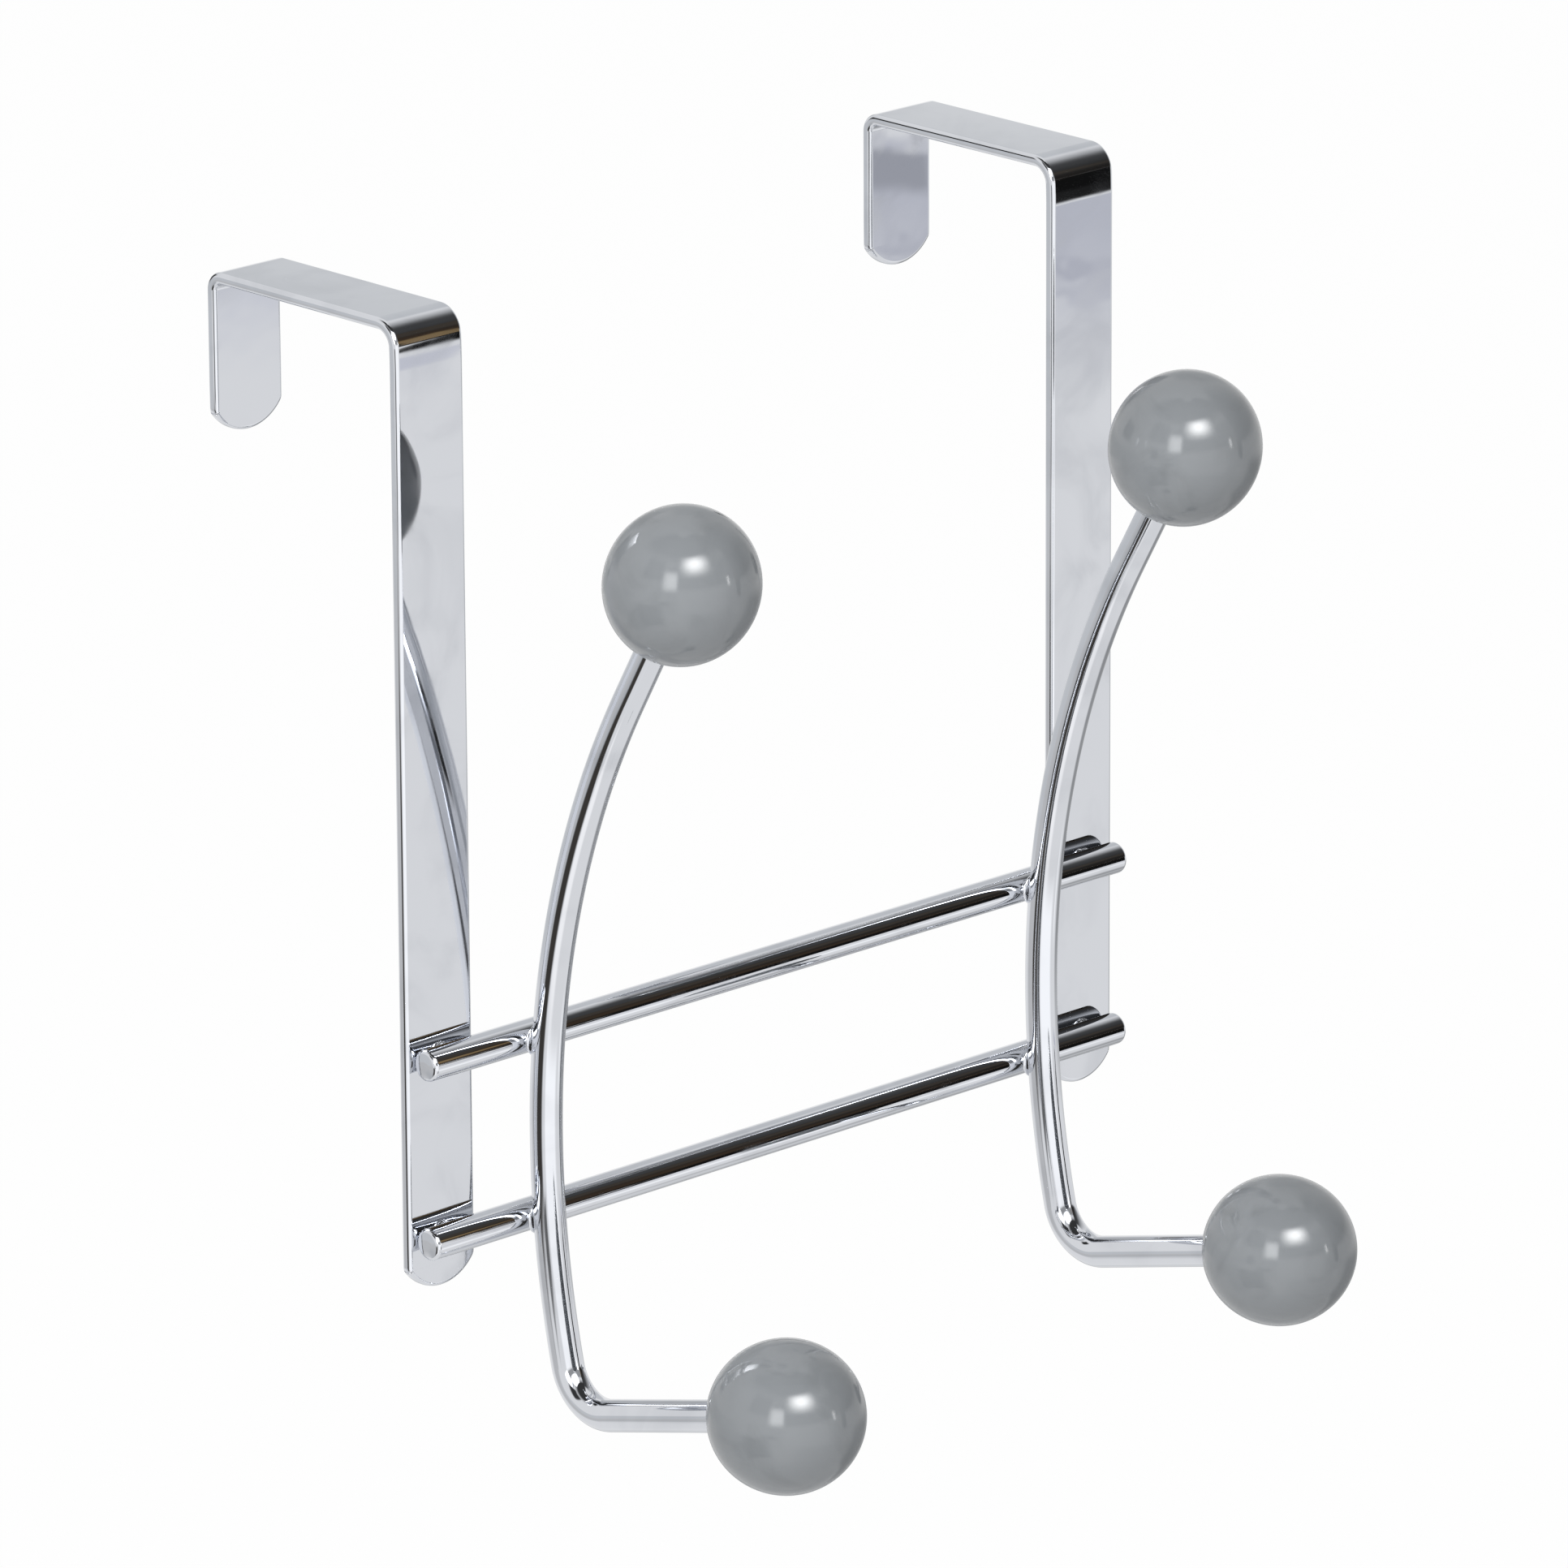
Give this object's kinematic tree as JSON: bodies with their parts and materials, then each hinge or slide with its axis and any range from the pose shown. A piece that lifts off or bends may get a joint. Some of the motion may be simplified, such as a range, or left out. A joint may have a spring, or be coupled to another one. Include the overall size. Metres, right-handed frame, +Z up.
{
  "type": "over door hook",
  "caption": "Chrome over-door rack: folded strips hang on the door top and carry round rails with bowed wire hooks, each ending in smooth grey balls.",
  "frame": {"origin": "front top edge of the door, midway between the strips: the plane of the bridges' undersides meets the plane of the front legs' backs", "axes": "+X along the rails to the viewer's right, -Y out of the front of the door, +Z up"},
  "size_m": [0.179, 0.136, 0.2085],
  "materials": {
    "chrome": "polished bright chrome plate on steel",
    "ball": "gloss mid grey"
  },
  "bodies": {
    "root": {"left_strap": "chrome", "right_strap": "chrome", "upper_rail": "chrome", "lower_rail": "chrome", "left_hook": "chrome", "right_hook": "chrome", "left_upper_ball": "ball", "left_lower_ball": "ball", "right_upper_ball": "ball", "right_lower_ball": "ball"}
  },
  "joints": []
}
